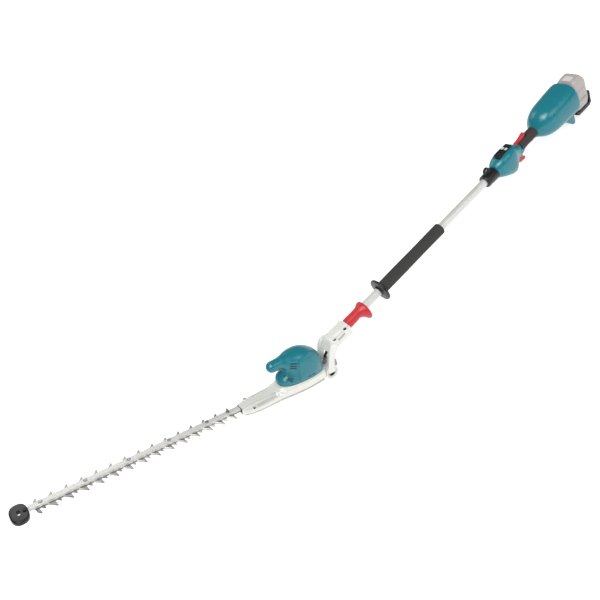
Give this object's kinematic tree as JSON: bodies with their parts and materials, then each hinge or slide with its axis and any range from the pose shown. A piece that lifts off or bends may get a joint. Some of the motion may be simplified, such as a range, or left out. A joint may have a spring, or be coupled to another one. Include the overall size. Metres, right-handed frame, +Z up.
{
  "type": "pole hedge trimmer",
  "caption": "Battery pole hedge trimmer: tilting head with twin reciprocating blades, release sleeve, foam grip, trigger handle and lift-off battery.",
  "frame": {"origin": "middle of the bounding box, on the ground the tool lies on", "axes": "+X from the battery end towards the blade's tip, +Y to the tool's left, +Z up"},
  "size_m": [2.0182, 0.108, 0.4272],
  "materials": {
    "teal_abs": "satin moulded plastic",
    "black_nylon": "satin moulded nylon",
    "grip_rubber": "soft overmould",
    "foam": "matte foam",
    "red_nylon": "satin moulded nylon",
    "cast_aluminium": "fine cast, painted silver",
    "pole_aluminium": "drawn tube, satin",
    "blade_steel": "ground steel",
    "dark_steel": "black zinc",
    "gear_steel": "machined",
    "battery_grey": "fine texture",
    "button_grey": "satin",
    "lens": "gloss",
    "copper": "wound copper, stood in for by metal",
    "board": "coated board",
    "cable": "sheathed lead"
  },
  "bodies": {
    "tool": {"pole_tube": "pole_aluminium", "foam_grip": "foam", "grip_guard": "black_nylon", "power_cable": "cable", "strap_collar": "black_nylon", "housing_left": "teal_abs", "housing_right": "teal_abs", "handle_rubber": "grip_rubber", "control_panel": "black_nylon", "indicator_lens": "lens", "main_switch": "black_nylon", "controller_board": "board", "battery_cradle": "black_nylon", "battery_terminal": "black_nylon", "spring_collar": "dark_steel", "sleeve_spring": "gear_steel", "arm_bracket": "cast_aluminium", "clamp_cap": "cast_aluminium", "pivot_bolt": "dark_steel", "pivot_nut": "dark_steel", "clamp_bolt_1": "dark_steel", "clamp_bolt_2": "dark_steel", "clamp_bolt_3": "dark_steel", "clamp_bolt_4": "dark_steel"},
    "sleeve": {"release_sleeve": "red_nylon", "lock_plate": "dark_steel"},
    "head": {"gear_case": "cast_aluminium", "gear_case_cover": "cast_aluminium", "head_cover": "teal_abs", "index_sector": "dark_steel", "motor_stator": "copper", "motor_end_plate": "black_nylon", "lower_bearing": "gear_steel", "upper_bearing": "gear_steel", "guide_bar": "pole_aluminium", "tip_guard": "black_nylon", "tip_guard_screw": "dark_steel", "blade_screw_1": "gear_steel", "blade_screw_2": "gear_steel", "blade_screw_3": "gear_steel", "blade_screw_4": "gear_steel", "blade_screw_5": "gear_steel", "blade_screw_6": "gear_steel"},
    "rotor": {"motor_rotor": "gear_steel", "cooling_fan": "black_nylon", "drive_pinion": "gear_steel"},
    "crank": {"crank_gear": "gear_steel"},
    "upper_shear": {"upper_blade": "blade_steel"},
    "lower_shear": {"lower_blade": "blade_steel"},
    "trigger_lever": {"trigger": "red_nylon"},
    "safety_lever": {"lock_off_lever": "red_nylon"},
    "power_key": {"power_button": "button_grey"},
    "mode_key": {"mode_button": "button_grey"},
    "battery": {"battery_case": "battery_grey"},
    "battery_key": {"battery_button": "button_grey"}
  },
  "joints": [
    {"name": "head_tilt", "type": "hinge", "parent": "tool", "child": "head", "pos_m": [0.22188, 0, 0.021], "axis": [0, -1, 0], "range_deg": [-97, 18]},
    {"name": "sleeve_slide", "type": "slide", "parent": "tool", "child": "sleeve", "axis": [-1, 0, 0], "range_m": [0, 0.01], "stiffness_N_per_m": 600, "springref_m": -0.012, "deforming": ["sleeve_spring"]},
    {"name": "crank_spin", "type": "hinge", "parent": "head", "child": "crank", "pos_m": [0.33753, 0, 0.07993], "axis": [-0.454, 0, 0.891], "continuous": true},
    {"name": "motor_spin", "type": "hinge", "parent": "head", "child": "rotor", "pos_m": [0.30652, 0, 0.06413], "axis": [-0.454, 0, 0.891], "continuous": true},
    {"name": "upper_blade_slide", "type": "slide", "parent": "head", "child": "upper_shear", "axis": [0.891, 0, 0.454], "range_m": [-0.009, 0.009]},
    {"name": "lower_blade_slide", "type": "slide", "parent": "head", "child": "lower_shear", "axis": [0.891, 0, 0.454], "range_m": [-0.009, 0.009]},
    {"name": "trigger_squeeze", "type": "hinge", "parent": "tool", "child": "trigger_lever", "pos_m": [-0.66812, 0, 0.066], "axis": [0, 1, 0], "range_deg": [0, 12], "stiffness_Nm_per_rad": 0.5, "springref_deg": -11.46},
    {"name": "lock_off_press", "type": "hinge", "parent": "tool", "child": "safety_lever", "pos_m": [-0.68412, 0, 0.102], "axis": [0, -1, 0], "range_deg": [0, 7], "stiffness_Nm_per_rad": 0.8, "springref_deg": -11.46},
    {"name": "power_press", "type": "slide", "parent": "tool", "child": "power_key", "axis": [0, 0, -1], "range_m": [0, 0.001], "stiffness_N_per_m": 800, "springref_m": -0.001},
    {"name": "mode_press", "type": "slide", "parent": "tool", "child": "mode_key", "axis": [0, 0, -1], "range_m": [0, 0.001], "stiffness_N_per_m": 800, "springref_m": -0.001},
    {"name": "battery_lift", "type": "slide", "parent": "tool", "child": "battery", "axis": [0, 0, 1], "range_m": [0, 0.1]},
    {"name": "battery_press", "type": "slide", "parent": "battery", "child": "battery_key", "axis": [0, 0, -1], "range_m": [0, 0.003], "stiffness_N_per_m": 500, "springref_m": -0.003}
  ],
  "couplings": [
    {"joint": "motor_spin", "follows": "crank_spin", "ratio": -4.1111},
    {"joint": "lower_blade_slide", "follows": "upper_blade_slide", "ratio": -1}
  ]
}
